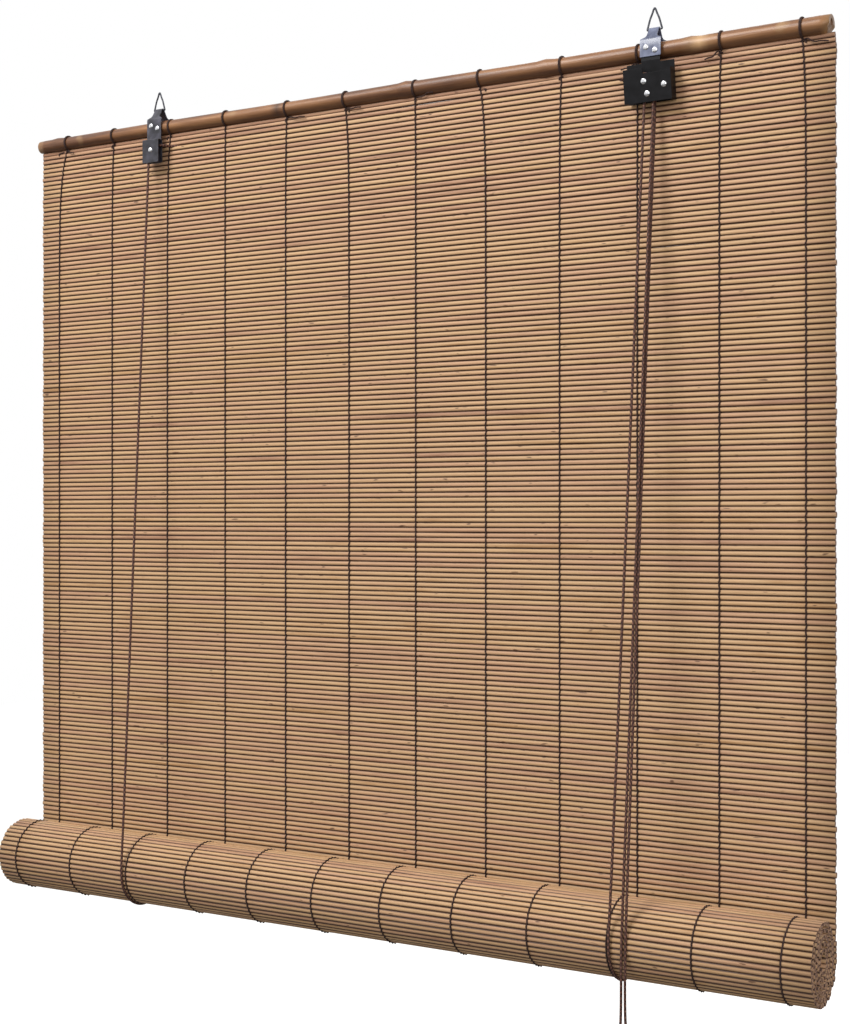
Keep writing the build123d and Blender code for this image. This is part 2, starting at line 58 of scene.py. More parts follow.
camera_data = bpy.data.cameras.new("camera")
camera_data.sensor_width = 36
camera_data.lens = 36 * FOCAL_PX / PHOTO_TALL_PX
camera_data.shift_y = HORIZON_BELOW_CENTRE_PX / PHOTO_TALL_PX
camera = bpy.data.objects.new("camera", camera_data)
bpy.context.scene.collection.objects.link(camera)
camera.location = CAMERA_PLACE
camera.rotation_euler = (math.pi / 2, 0, CAMERA_YAW)
bpy.context.scene.camera = camera
bpy.context.scene.view_settings.view_transform = "Standard"


# Studio: a white room with soft light from above and in front of the blind. The world and the
# floor show white to the camera, and in metal, and light the blind only softly.
def srgb(hex_colour):
    """A colour written as on screen, as the linear RGBA that the shaders take."""
    channels = [int(hex_colour[i:i + 2], 16) / 255 for i in (1, 3, 5)]
    return [c / 12.92 if c <= 0.04045 else ((c + 0.055) / 1.055) ** 2.4 for c in channels] + [1.0]


def add_node(tree, kind, settings=None, **links):
    """Adds a node, sets its properties and sockets, and links sockets whose value is a socket."""
    made = tree.nodes.new(kind)
    for name, value in (settings or {}).items():
        setattr(made, name, value)
    for name, value in links.items():
        socket = made.inputs[int(name[1:])] if name[0] == "_" and name[1:].isdigit() else made.inputs[name]
        if isinstance(value, bpy.types.NodeSocket):
            tree.links.new(value, socket)
        else:
            socket.default_value = value
    return made


def add_lamp(name, place, target, width, height, watts):
    lamp = bpy.data.lights.new(name, "AREA")
    lamp.shape = "RECTANGLE"
    lamp.size, lamp.size_y, lamp.energy = width, height, watts
    holder = bpy.data.objects.new(name, lamp)
    bpy.context.scene.collection.objects.link(holder)
    holder.location = place
    holder.rotation_euler = (Vector(target) - Vector(place)).to_track_quat("-Z", "Y").to_euler()


def deselect():
    for thing in bpy.context.selected_objects:
        thing.select_set(False)


WORLD_LIGHT = 0.5
world = bpy.data.worlds.new("studio")
bpy.context.scene.world = world
world.use_nodes = True
room = world.node_tree
room.nodes.clear()
path = add_node(room, "ShaderNodeLightPath")
seen = add_node(room, "ShaderNodeMath", {"operation": "MAXIMUM"}, _0=path.outputs["Is Camera Ray"],
                _1=path.outputs["Is Glossy Ray"])
dim = add_node(room, "ShaderNodeBackground", Color=(1, 1, 1, 1), Strength=WORLD_LIGHT)
white = add_node(room, "ShaderNodeBackground", Color=(1, 1, 1, 1), Strength=1.0)
mixed = add_node(room, "ShaderNodeMixShader", _0=seen.outputs[0], _1=dim.outputs[0], _2=white.outputs[0])
add_node(room, "ShaderNodeOutputWorld", Surface=mixed.outputs[0])

add_lamp("key", (-0.9, -2.0, 1.9), (0, 0, -0.5), 1.2, 1.2, 77)
add_lamp("fill", (2.0, -2.4, 0.4), (0, 0, -0.5), 2.0, 2.0, 20)
add_lamp("back", (-0.5, 2.8, 1.0), (0, 0, -0.5), 2.0, 2.0, 30)

FLOOR_Z = -1.75
deselect()
bpy.ops.mesh.primitive_plane_add(size=14, location=(0, 0, FLOOR_Z))
floor = bpy.context.object
floor.name = "floor"
paint = bpy.data.materials.new("white painted floor")
paint.use_nodes = True
tree = paint.node_tree
tree.nodes.clear()
path = add_node(tree, "ShaderNodeLightPath")
matt = add_node(tree, "ShaderNodeBsdfDiffuse", Color=srgb("#F4F4F2"))
lit = add_node(tree, "ShaderNodeEmission", Color=(1, 1, 1, 1), Strength=0.55)
both = add_node(tree, "ShaderNodeAddShader", _0=matt.outputs[0], _1=lit.outputs[0])
dull = add_node(tree, "ShaderNodeBsdfDiffuse", Color=srgb("#8C8C8A"))
seen_floor = add_node(tree, "ShaderNodeMixShader", _0=path.outputs["Is Camera Ray"], _1=dull.outputs[0],
                      _2=both.outputs[0])
add_node(tree, "ShaderNodeOutputMaterial", Surface=seen_floor.outputs[0])
floor.data.materials.append(paint)


# Reeds: split bamboo, rounded by a die and heat browned, in one long row that the threads tie.
# No two have the same colour: each carries its own tone, and how deep a point lies in a joint, which sets
# painted shade there.
def new_material(name):
    material = bpy.data.materials.new(name)
    material.use_nodes = True
    material.node_tree.nodes.clear()
    return material, material.node_tree


def end_material(tree, shader):
    add_node(tree, "ShaderNodeOutputMaterial", Surface=shader.outputs[0])


def ramp_node(tree, factor, stops, interpolation="LINEAR"):
    made = add_node(tree, "ShaderNodeValToRGB", Fac=factor)
    ramp = made.color_ramp
    ramp.interpolation = interpolation
    while len(ramp.elements) < len(stops):
        ramp.elements.new(0.5)
    for element, (place, colour) in zip(ramp.elements, stops):
        element.position = place
        element.color = srgb(colour) if isinstance(colour, str) else (colour, colour, colour, 1)
    return made


def browned_reeds():
    """Heat browned bamboo: long streaks of tan, pink and gold, painted shade in the joints and under each
    reed, few specks.
    """
    material, tree = new_material("browned split bamboo")
    tone = add_node(tree, "ShaderNodeAttribute", {"attribute_name": "tone"})
    painted_joint_shade = add_node(tree, "ShaderNodeAttribute", {"attribute_name": "painted_joint_shade"})
    place = add_node(tree, "ShaderNodeTexCoord")
    # The pattern runs along the reed: it is some 60 mm long and 2 mm wide.
    long_way = add_node(tree, "ShaderNodeMapping", Vector=place.outputs["Object"], Scale=(11, 190, 190))
    wander = add_node(tree, "ShaderNodeTexNoise", {"noise_dimensions": "4D"}, Vector=long_way.outputs[0],
                      W=tone.outputs["Fac"], Scale=1.0, Detail=3.0, Roughness=0.6)
    shifted = add_node(tree, "ShaderNodeMath", {"operation": "MULTIPLY_ADD"}, _0=wander.outputs["Fac"],
                       _1=1.5, _2=-0.75)
    mixed_tone = add_node(tree, "ShaderNodeMath", {"operation": "ADD", "use_clamp": True},
                          _0=tone.outputs["Fac"], _1=shifted.outputs[0])
    base = ramp_node(tree, mixed_tone.outputs[0], [
        (0.0, "#AE8062"), (0.2, "#C89A76"), (0.38, "#D3A680"), (0.52, "#D3A87C"),
        (0.68, "#D8AF82"), (0.84, "#CFA374"), (1.0, "#BC8E60")])
    fibre_way = add_node(tree, "ShaderNodeMapping", Vector=place.outputs["Object"], Scale=(30, 1600, 1600))
    fibre = add_node(tree, "ShaderNodeTexNoise", Vector=fibre_way.outputs[0], Scale=1.0, Detail=4.0)
    fibre_tone = ramp_node(tree, fibre.outputs["Fac"], [(0.3, 0.80), (0.62, 1.0)])
    streaked = add_node(tree, "ShaderNodeMix", {"data_type": "RGBA", "blend_type": "MULTIPLY"},
                        _0=0.8, _6=base.outputs[0], _7=fibre_tone.outputs[0])
    speck_way = add_node(tree, "ShaderNodeMapping", Vector=place.outputs["Object"], Scale=(70, 330, 330))
    speck = add_node(tree, "ShaderNodeTexNoise", Vector=speck_way.outputs[0], Scale=1.0, Detail=1.0)
    speck_mask = ramp_node(tree, speck.outputs["Fac"], [(0.73, 0.0), (0.79, 0.8)])
    specked = add_node(tree, "ShaderNodeMix", {"data_type": "RGBA"}, _0=speck_mask.outputs[0],
                       _6=streaked.outputs[2], _7=srgb("#5A3520"))
    # Painted shade: the joints between reeds, and each reed's lower side, are darkened towards #3E2213.
    depth = ramp_node(tree, painted_joint_shade.outputs["Fac"], [(0.42, 0.0), (0.70, 0.5), (0.90, 1.0)])
    joint_shaded = add_node(tree, "ShaderNodeMix", {"data_type": "RGBA"}, _0=depth.outputs[0],
                       _6=specked.outputs[2], _7=srgb("#3E2213"))
    # The sawn ends show end grain: pinkish brown, with dark bundles and paler pith, some 2 mm apart.
    facing = add_node(tree, "ShaderNodeNewGeometry")
    across = add_node(tree, "ShaderNodeSeparateXYZ", Vector=facing.outputs["True Normal"])
    square = add_node(tree, "ShaderNodeMath", {"operation": "POWER"}, _0=across.outputs[0], _1=2.0)
    sawn = ramp_node(tree, square.outputs[0], [(0.80, 0.0), (0.90, 0.85)])
    bundles = add_node(tree, "ShaderNodeTexNoise", Vector=place.outputs["Object"], Scale=420.0, Detail=2.0)
    grain = ramp_node(tree, bundles.outputs["Fac"], [(0.36, "#3A2018"), (0.47, "#7C5440"), (0.62, "#C79C7C")])
    ended = add_node(tree, "ShaderNodeMix", {"data_type": "RGBA"}, _0=sawn.outputs[0],
                     _6=joint_shaded.outputs[2], _7=grain.outputs[0])
    bump = add_node(tree, "ShaderNodeBump", Strength=0.25, Distance=0.0003, Height=fibre.outputs["Fac"])
    skin = add_node(tree, "ShaderNodeBsdfPrincipled", Roughness=0.58, Normal=bump.outputs[0])
    tree.links.new(ended.outputs[2], skin.inputs["Base Color"])
    end_material(tree, skin)
    return material


REED_PITCH = 0.005345
REED_THICK = 0.0046
REED_SIDES = 12
REED_CUTS = 22
REED_OVERLAP = 1.07
# How much further the painted joint shade reaches on the lower side of each reed.
LOWER_SIDE_SHADE = 1.25
FLAT_REEDS = 161
REED_END_SPREAD = 0.0010
REED_SWAY = 0.00016
LOOSE_SWAY = 3
# The loose top reeds lie in the pole's shade: their tone is lowered by this much, a painted shade.
POLE_SHADE_ON_TOP_REEDS = 0.35
TOP_REED_STEP = 0.0042
ROLL_RADIUS = 0.0372

reed_bamboo = browned_reeds()
flat_low, flat_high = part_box("reed_mat")
mat_width = flat_high[0] - flat_low[0]
first_reed_z = flat_high[2] - REED_PITCH / 2 + TOP_REED_STEP


def join_pieces(pieces, name):
    """Joins the pieces to the first one, under one name."""
    deselect()
    for piece in pieces:
        piece.select_set(True)
    bpy.context.view_layer.objects.active = pieces[0]
    if len(pieces) > 1:
        bpy.ops.object.join()
    joined = bpy.context.object
    joined.name = name
    return joined


def make_reed(cuts):
    """One straight reed along X, higher than the pitch so that it is pressed to its neighbours."""
    deselect()
    bpy.ops.mesh.primitive_cylinder_add(vertices=REED_SIDES, radius=1, depth=1, rotation=(0, math.pi / 2, 0))
    reed = bpy.context.object
    bpy.ops.object.transform_apply(rotation=True)
    bpy.ops.object.mode_set(mode="EDIT")
    bpy.ops.mesh.select_mode(type="EDGE")
    bpy.ops.mesh.select_all(action="DESELECT")
    bpy.ops.object.mode_set(mode="OBJECT")
    for edge in reed.data.edges:
        ends = [reed.data.vertices[i].co for i in edge.vertices]
        edge.select = abs(ends[0].x - ends[1].x) > 0.5
    bpy.ops.object.mode_set(mode="EDIT")
    bpy.ops.mesh.subdivide(number_cuts=cuts)
    bpy.ops.object.mode_set(mode="OBJECT")
    # How deep each point lies in a joint, more so on its lower side: it sets the painted shade.
    painted_joint_shade = reed.data.attributes.new("painted_joint_shade", "FLOAT", "POINT")
    for vertex in reed.data.vertices:
        painted_joint_shade.data[vertex.index].value = abs(vertex.co.z) * (1.0 if vertex.co.z > 0 else LOWER_SIDE_SHADE)
    reed.data.transform(Matrix.Diagonal((mat_width, REED_THICK / 2, REED_OVERLAP * REED_PITCH / 2, 1)))
    for polygon in reed.data.polygons:
        polygon.use_smooth = len(polygon.vertices) == 4
    return reed


def lay_reeds(name, count, cuts, place, chance, loose_shaded=0):
    """Copies of one reed, each bent, cut and toned a little differently, joined to one piece."""
    pattern = make_reed(cuts)
    copies = []
    for i in range(count):
        copy = pattern.copy()
        copy.data = pattern.data.copy()
        bpy.context.scene.collection.objects.link(copy)
        sway = REED_SWAY * (LOOSE_SWAY if i < loose_shaded else 1)
        waves = [(chance.uniform(2, 9), chance.uniform(0, 6.3), chance.uniform(0, sway)) for _ in range(3)]
        left, right = (chance.uniform(-1, 0.4) * REED_END_SPREAD for _ in range(2))
        fat = chance.uniform(0.93, 1.03)
        turn, centre = place(i)
        for vertex in copy.data.vertices:
            x, y, z = vertex.co
            share = x / mat_width + 0.5
            lift = sum(a * math.sin(f * x * 3 + p) for f, p, a in waves)
            out = sum(a * math.cos(f * x * 4 + p) for f, p, a in waves)
            local = Vector((0, y * fat + out, z + 0.6 * lift))
            local.rotate(turn)
            vertex.co = Vector((x + (1 - share) * -left + share * right, 0, 0)) + local + centre
        tone = copy.data.attributes.new("tone", "FLOAT", "POINT")
        # The loose reeds under the pole are toned darker: painted shade of the pole.
        value = min(1, max(0, chance.gauss(0.5, 0.12) - (POLE_SHADE_ON_TOP_REEDS if i < loose_shaded else 0)))
        tone.data.foreach_set("value", [value] * len(copy.data.vertices))
        copies.append(copy)
    bpy.data.objects.remove(pattern)
    joined = join_pieces(copies, name)
    joined.data.name = name
    joined.data.materials.append(reed_bamboo)
    return joined


def flat_place(i):
    """The top reed is tied up against the pole, a little closer to the next than the others."""
    drop = TOP_REED_STEP + (i - 1) * REED_PITCH if i else 0
    return Matrix.Identity(3).to_euler(), Vector((0, 0, first_reed_z - drop))


def shorten(piece, top, bottom):
    """Gives the piece its own copy of its mesh; nothing here shortens it as the roll climbs."""
    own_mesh(piece)


chance = random.Random(7)
roll_low, roll_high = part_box("mat_roll")
roll_y = flat_high[1] - REED_THICK / 2 - ROLL_RADIUS
roll_z = (roll_low[2] + roll_high[2]) / 2
mat_top = first_reed_z + REED_PITCH / 2
flat = lay_reeds("flat_reeds", FLAT_REEDS, REED_CUTS, flat_place, chance, loose_shaded=3)
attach(flat, "head")
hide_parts("reed_mat")
shorten(flat, mat_top, roll_z)


# Roll: the lower half of the same mat, wound forwards and inwards under itself. Each turn is
# round for three quarters and steps in under the next one at the back.
TURN_PITCH = 0.0059
ROLLED_REEDS = 150
ROLL_REED_CUTS = 10


def wound_radius(angle):
    turn = int(angle // (2 * math.pi))
    share = max(0.0, (angle - 2 * math.pi * turn - 1.5 * math.pi) / (0.5 * math.pi))
    return ROLL_RADIUS - TURN_PITCH * (turn + share * share * (3 - 2 * share))


wound_angles = [0.0]
while len(wound_angles) < 2 * ROLLED_REEDS + 2:
    wound_angles.append(wound_angles[-1] + REED_PITCH / 2 / wound_radius(wound_angles[-1]))


def roll_place(i):
    angle = wound_angles[2 * i]
    r = wound_radius(angle)
    centre = Vector((0, roll_y + r * math.cos(angle), roll_z - r * math.sin(angle)))
    return Matrix.Rotation(-angle, 3, "X").to_euler(), centre


rolled = lay_reeds("rolled_reeds", ROLLED_REEDS, ROLL_REED_CUTS, roll_place, chance)
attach(rolled, "roll")
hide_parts("mat_roll")


# Warp threads: dark brown twisted twine in twelve rows. One strand passes in front of the reeds
# and one behind, and they cross in every joint, so each row is a chain of small bumps.
def twisted_twine():
    """Twine of two plies: dark brown, matt, with a slanting lay along it every 2 mm."""
    material, tree = new_material("dark brown twisted twine")
    place = add_node(tree, "ShaderNodeTexCoord")
    grain = add_node(tree, "ShaderNodeTexNoise", Vector=place.outputs["Object"], Scale=900.0, Detail=2.0)
    colour = ramp_node(tree, grain.outputs["Fac"], [(0.3, "#1E0F0C"), (0.7, "#3E241C")])
    lay = add_node(tree, "ShaderNodeMapping", Vector=place.outputs["Object"], Rotation=(0.7, 0.7, 0))
    ply = add_node(tree, "ShaderNodeTexWave", Vector=lay.outputs[0], Scale=160.0, Distortion=1.0)
    bump = add_node(tree, "ShaderNodeBump", Strength=0.6, Distance=0.0004, Height=ply.outputs["Fac"])
    skin = add_node(tree, "ShaderNodeBsdfPrincipled", Roughness=0.85, Normal=bump.outputs[0])
    tree.links.new(colour.outputs[0], skin.inputs["Base Color"])
    end_material(tree, skin)
    return material


twine = twisted_twine()
TWINE_R = 0.00092
THREAD_COUNT = 12
LASHING_X = (-0.458, -0.383, -0.295, -0.214, -0.127, -0.048, 0.042, 0.1215, 0.217, 0.3015, 0.388, 0.468)
THREAD_SETTLES = 0.035
THREAD_WANDER = 0.0002
THREAD_PROUD = 0.0003
POINTS_ROUND_ROLL = 44


def curve_piece(name, points, radius, kind="POLY", sides=3):
    """A round strand along the points, as a curve."""
    data = bpy.data.curves.new(name, "CURVE")
    data.dimensions = "3D"
    data.bevel_depth = radius
    data.bevel_resolution = sides
    data.use_fill_caps = True
    spline = data.splines.new(kind)
    spline.points.add(len(points) - 1)
    for point, place in zip(spline.points, points):
        point.co = (*place, 1)
    if kind == "NURBS":
        spline.order_u = 3
        spline.use_endpoint_u = True
        spline.resolution_u = 6
    holder = bpy.data.objects.new(name, data)
    bpy.context.scene.collection.objects.link(holder)
    return holder


def to_mesh(holder):
    deselect()
    holder.select_set(True)
    bpy.context.view_layer.objects.active = holder
    bpy.ops.object.convert(target="MESH")
    bpy.ops.object.shade_smooth()
    return bpy.context.object


for i in range(THREAD_COUNT):
    node = f"warp_thread_{i + 1:02d}"
    low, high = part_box(node)
    x = (low[0] + high[0]) / 2
    strands = []
    for side in (-1, 1):
        points = []
        for j in range(FLAT_REEDS):
            z = flat_place(j)[1].z
            # A row starts under its lashing and settles to its own line over the first reeds.
            at = x + 0.9 * (LASHING_X[i] - x) * math.exp((z - first_reed_z) / THREAD_SETTLES)
            swing = THREAD_WANDER * side * (1 if j % 2 else -1)
            swing += chance.uniform(-THREAD_WANDER, THREAD_WANDER)
            points.append((at + swing, side * (REED_THICK / 2 - 0.0007), z + REED_PITCH / 2))
            points.append((at + swing, side * (REED_THICK / 2 + THREAD_PROUD), z + REED_PITCH * 0.22))
            points.append((at - swing, side * (REED_THICK / 2 + THREAD_PROUD), z - REED_PITCH * 0.22))
        strands.append(to_mesh(curve_piece(f"{node}_strand", points, TWINE_R, sides=1)))
    thread = join_pieces(strands, f"flat_thread_{i + 1:02d}")
    thread.data.materials.append(twine)
    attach(thread, "head")
    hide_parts(node)
    shorten(thread, mat_top, roll_z)

    # On the roll the outer strand is seen over one whole turn.
    points = []
    for j in range(POINTS_ROUND_ROLL):
        for step, out in ((0, THREAD_PROUD), (1, -0.0009)):
            angle = wound_angles[2 * j + step] + 0.02
            r = wound_radius(angle) + REED_THICK / 2 + out + THREAD_PROUD
            points.append((x + chance.uniform(-THREAD_WANDER, THREAD_WANDER), roll_y + r * math.cos(angle),
                           roll_z - r * math.sin(angle)))
    wound = to_mesh(curve_piece(f"wound_thread_{i + 1:02d}", points[1:], TWINE_R, sides=1))
    wound.data.materials.append(twine)
    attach(wound, "roll")
    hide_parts(f"roll_thread_{i + 1:02d}")


# Head pole: a thin bamboo culm, stained brown and sealed with a satin varnish. It swells at its
# nodes, is hollow at the cut ends, and the saw left a pale slanted cut under the right one.
POLE_Z = -0.041


def stained_culm():
    """Stained culm: brown streaks along the grain, painted shade along the underside, worn pale in patches.
    """
    material, tree = new_material("stained bamboo culm")
    place = add_node(tree, "ShaderNodeTexCoord")
    cut = add_node(tree, "ShaderNodeAttribute", {"attribute_name": "cut"})
    ring = add_node(tree, "ShaderNodeAttribute", {"attribute_name": "ring"})
    branch = add_node(tree, "ShaderNodeAttribute", {"attribute_name": "branch"})
    long_way = add_node(tree, "ShaderNodeMapping", Vector=place.outputs["Object"], Scale=(5, 70, 70))
    streak = add_node(tree, "ShaderNodeTexNoise", Vector=long_way.outputs[0], Scale=1.0, Detail=6.0,
                      Roughness=0.65)
    colour = ramp_node(tree, streak.outputs["Fac"], [
        (0.28, "#4A2A17"), (0.42, "#6E4527"), (0.52, "#8E5F38"), (0.62, "#A57347"), (0.76, "#BC8C5C")])
    ringed = add_node(tree, "ShaderNodeMix", {"data_type": "RGBA"}, _0=ring.outputs["Fac"],
                      _6=colour.outputs[0], _7=srgb("#3A2012"))
    patch = add_node(tree, "ShaderNodeTexNoise", Vector=place.outputs["Object"], Scale=22.0, Detail=2.0)
    scar_mask = ramp_node(tree, patch.outputs["Fac"], [(0.64, 0.0), (0.72, 0.75)])
    scarred = add_node(tree, "ShaderNodeMix", {"data_type": "RGBA"}, _0=scar_mask.outputs[0],
                       _6=ringed.outputs[2], _7=srgb("#B08A60"))
    # Painted shade: the culm is darker along its underside.
    height = add_node(tree, "ShaderNodeSeparateXYZ", Vector=place.outputs["Object"])
    underside_shade_mask = add_node(tree, "ShaderNodeMapRange", {"interpolation_type": "SMOOTHSTEP"}, _0=height.outputs[2],
                     _1=POLE_Z - 0.0075, _2=POLE_Z + 0.003, _3=0.7, _4=0.0)
    painted_underside_shade = add_node(tree, "ShaderNodeMix", {"data_type": "RGBA"}, _0=underside_shade_mask.outputs[0],
                        _6=scarred.outputs[2], _7=srgb("#3C2214"))
    bared = add_node(tree, "ShaderNodeMix", {"data_type": "RGBA"}, _0=branch.outputs["Fac"],
                     _6=painted_underside_shade.outputs[2], _7=srgb("#CFA678"))
    sawn = add_node(tree, "ShaderNodeMix", {"data_type": "RGBA"}, _0=cut.outputs["Fac"],
                    _6=bared.outputs[2], _7=srgb("#A47A50"))
    fine_way = add_node(tree, "ShaderNodeMapping", Vector=place.outputs["Object"], Scale=(50, 900, 900))
    fine = add_node(tree, "ShaderNodeTexNoise", Vector=fine_way.outputs[0], Scale=1.0, Detail=3.0)
    bump = add_node(tree, "ShaderNodeBump", Strength=0.35, Distance=0.0005, Height=fine.outputs["Fac"])
    skin = add_node(tree, "ShaderNodeBsdfPrincipled", Roughness=0.4, Normal=bump.outputs[0])
    tree.links.new(sawn.outputs[2], skin.inputs["Base Color"])
    end_material(tree, skin)
    return material


CULM_SIDES = 48
CULM_CUTS = 400
CULM_NODES = (-0.472, -0.303, -0.134, 0.031, 0.200, 0.359)
NODE_HALF_WIDTH = 0.0022
BRANCH_SCAR = (0.367, 0.0085)
SCAR_TURN = math.radians(158)
SCAR_DEPTH = 0.0009
CULM_RIDGE = 0.0010
CULM_KINK = 0.00035
POLE_R = ((-0.503, 0.0077), (-0.303, 0.0081), (0.031, 0.0085), (0.2, 0.0087), (0.359, 0.0083),
          (0.496, 0.0096))
BORE_R = 0.0034
BORE_DEPTH = 0.025
END_ROUND = 0.0006

pole_low, pole_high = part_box("head_pole")


def culm_radius(x):
    """The culm's radius at x, between the places in POLE_R."""
    for (start, first), (end, last) in zip(POLE_R, POLE_R[1:]):
        if x <= end or end == POLE_R[-1][0]:
            return first + (last - first) * min(1.0, max(0.0, (x - start) / (end - start)))


deselect()
bpy.ops.mesh.primitive_cylinder_add(vertices=CULM_SIDES, radius=1, depth=1, rotation=(0, math.pi / 2, 0))
culm = bpy.context.object
culm.name = "bamboo_culm"
bpy.ops.object.transform_apply(rotation=True)
for edge in culm.data.edges:
    ends = [culm.data.vertices[i].co.x for i in edge.vertices]
    edge.select = abs(ends[0] - ends[1]) > 0.5
for polygon in culm.data.polygons:
    polygon.select = False
bpy.ops.object.mode_set(mode="EDIT")
bpy.ops.mesh.select_mode(type="EDGE")
bpy.ops.mesh.subdivide(number_cuts=CULM_CUTS)
bpy.ops.mesh.select_mode(type="FACE")
bpy.ops.mesh.select_all(action="DESELECT")
bpy.ops.object.mode_set(mode="OBJECT")
# The walls are thick: each end face is set in to the hollow's edge and pushed down the culm.
for side in (-1, 1):
    for polygon in culm.data.polygons:
        polygon.select = len(polygon.vertices) > 4 and polygon.normal.x * side > 0.9
    bpy.ops.object.mode_set(mode="EDIT")
    bpy.ops.mesh.inset(thickness=1 - BORE_R / POLE_R[-1 if side > 0 else 0][1], depth=0)
    bpy.ops.mesh.extrude_region_move(TRANSFORM_OT_translate={"value": (-side * BORE_DEPTH, 0, 0)})
    bpy.ops.mesh.select_all(action="DESELECT")
    bpy.ops.object.mode_set(mode="OBJECT")
ring_tone = culm.data.attributes.new("ring", "FLOAT", "POINT")
cut_tone = culm.data.attributes.new("cut", "FLOAT", "POINT")
branch_tone = culm.data.attributes.new("branch", "FLOAT", "POINT")
for vertex in culm.data.vertices:
    x, y, z = vertex.co
    hollow = math.hypot(y, z) < 0.9
    share = min(1.0, max(0.0, x + 0.5))
    place = pole_low[0] + share * (pole_high[0] - pole_low[0])
    r = culm_radius(place)
    kink = 0.0
    ring_tone.data[vertex.index].value = 0.0
    for i, node_x in enumerate(CULM_NODES):
        away = (place - node_x) / NODE_HALF_WIDTH
        swell = math.exp(-away * away) - 0.5 * math.exp(-((away + 1.6) ** 2) * 3)
        r += CULM_RIDGE * swell + 0.0004 * math.exp(-(away / 5) ** 2)
        kink += CULM_KINK * (1 if i % 2 else -1) * math.exp(-((place - node_x) / 0.07) ** 2)
        line = math.exp(-((away + 1.5) ** 2) * 2.5)
        ring_tone.data[vertex.index].value = max(ring_tone.data[vertex.index].value, 0.8 * line)
    angle = math.atan2(z, y)
    # A branch was cut off beside this node: a pale flat scar on the front, a little above the middle.
    scar = math.exp(-((place - BRANCH_SCAR[0]) / BRANCH_SCAR[1]) ** 2) * max(0.0, math.cos(angle - SCAR_TURN))
    branch_tone.data[vertex.index].value = 0.0 if hollow else scar
    r -= SCAR_DEPTH * scar
    r *= 1 + 0.008 * math.sin(3 * angle + place * 9) + 0.006 * math.sin(2 * angle - place * 21)
    if min(share, 1 - share) < END_ROUND:
        r -= 0.0004
    if hollow:
        centre_y, centre_z = (0.0006, 0.0) if x < 0 else (-0.0008, 0.0018)
        ring_r = BORE_R
    else:
        centre_y, centre_z, ring_r = 0, 0, r
    end = abs(x) > 0.4999
    cut_tone.data[vertex.index].value = 1.0 if end and not hollow else (0.25 if hollow else 0.0)
    if hollow and not end:
        place = (pole_low[0] + BORE_DEPTH) if x < 0 else (pole_high[0] - BORE_DEPTH)
        cut_tone.data[vertex.index].value = 0.0
    # The right end slants back below the hollow.
    slant = 0.006 * max(0.0, -math.sin(angle) - 0.1) if share > 0.999 and not hollow else 0.0
    length = math.hypot(y, z) or 1
    vertex.co = (place - slant, centre_y + ring_r * y / length,
                 POLE_Z + kink + centre_z + ring_r * z / length)
culm.data.materials.append(stained_culm())
for polygon in culm.data.polygons:
    polygon.use_smooth = len(polygon.vertices) == 4 and abs(polygon.normal.x) < 0.9
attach(culm, "head")
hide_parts("head_pole")


# Lashings: each row's thread ends in two turns round the pole, a knot under it and a short
# loose tail. They are the same dark twine as the rows.
TAILS = {0: (0.012, -0.004), 4: (0.026, -0.002), 5: (0.022, -0.001), 6: (0.024, 0.003), 9: (-0.018, -0.004),
         10: (-0.016, -0.006), 11: (0.026, -0.005)}

for i, x in enumerate(LASHING_X):
    low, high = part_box(f"warp_thread_{i + 1:02d}")
    row_x, row_top = (low[0] + high[0]) / 2, high[2]
    r = culm_radius(x) + 0.0009
    points = []
    for j in range(41):
        angle = -math.pi / 2 + 4 * math.pi * j / 40
        points.append((x - 0.0008 + 0.0016 * j / 40 + chance.uniform(-0.0001, 0.0001),
                       r * math.cos(angle), POLE_Z + r * math.sin(angle)))
    knot_z = POLE_Z - r - 0.0012
    for j in range(13):
        angle = 2.2 * math.pi * j / 12
        points.append((x + 0.0014 * math.cos(angle), -0.0008 + 0.0014 * math.sin(angle), knot_z - 0.0001 * j))
    points.append(((x + row_x) / 2, -0.0012, (knot_z + row_top) / 2))
    points.append((row_x, -REED_THICK / 2 - 0.0002, row_top - 0.0006))
    points.append((row_x, -REED_THICK / 2 - 0.0004, row_top - 0.003))
    strands = [to_mesh(curve_piece(f"lashing_{i}", points, TWINE_R, sides=2))]
    if i in TAILS:
        reach, drop = TAILS[i]
        wave = chance.uniform(0.0008, 0.0018)
        tail = [(x, -0.0015, knot_z), (x + reach * 0.2, -0.0042, knot_z + wave),
                (x + reach * 0.45, -0.0046, knot_z + drop * 0.5 - wave),
                (x + reach * 0.75, -0.0044, knot_z + drop + wave), (x + reach, -0.0048, knot_z + drop)]
        strands.append(to_mesh(curve_piece(f"tail_{i}", tail, TWINE_R * 0.75, "NURBS", sides=2)))
    lashing = join_pieces(strands, f"lashing_{i + 1:02d}")
    lashing.data.materials.append(twine)
    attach(lashing, "head")
    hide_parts("pole_lashings")


# Hanger straps: strips of sheet steel, folded over the rings and painted, the left one dark grey; the right
# one's light blue grey colour is a painted reflection. The press left their edges slightly rounded.
def painted_steel(name, dark, light, rough, shine=0.5):
    """Paint on stamped steel: a slight orange peel, and paler where it was handled."""
    material, tree = new_material(name)
    place = add_node(tree, "ShaderNodeTexCoord")
    bloom = add_node(tree, "ShaderNodeTexNoise", Vector=place.outputs["Object"], Scale=120.0, Detail=4.0)
    colour = ramp_node(tree, bloom.outputs["Fac"], [(0.35, dark), (0.7, light)])
    rub = ramp_node(tree, bloom.outputs["Fac"], [(0.3, rough - 0.08), (0.7, rough + 0.08)])
    peel = add_node(tree, "ShaderNodeTexNoise", Vector=place.outputs["Object"], Scale=700.0, Detail=2.0)
    bump = add_node(tree, "ShaderNodeBump", Strength=0.15, Distance=0.0003, Height=peel.outputs["Fac"])
    skin = add_node(tree, "ShaderNodeBsdfPrincipled", Roughness=rub.outputs[0], Normal=bump.outputs[0])
    skin.inputs["Specular IOR Level"].default_value = shine
    tree.links.new(colour.outputs[0], skin.inputs["Base Color"])
    end_material(tree, skin)
    return material


SHEET_EDGE_R = 0.0004


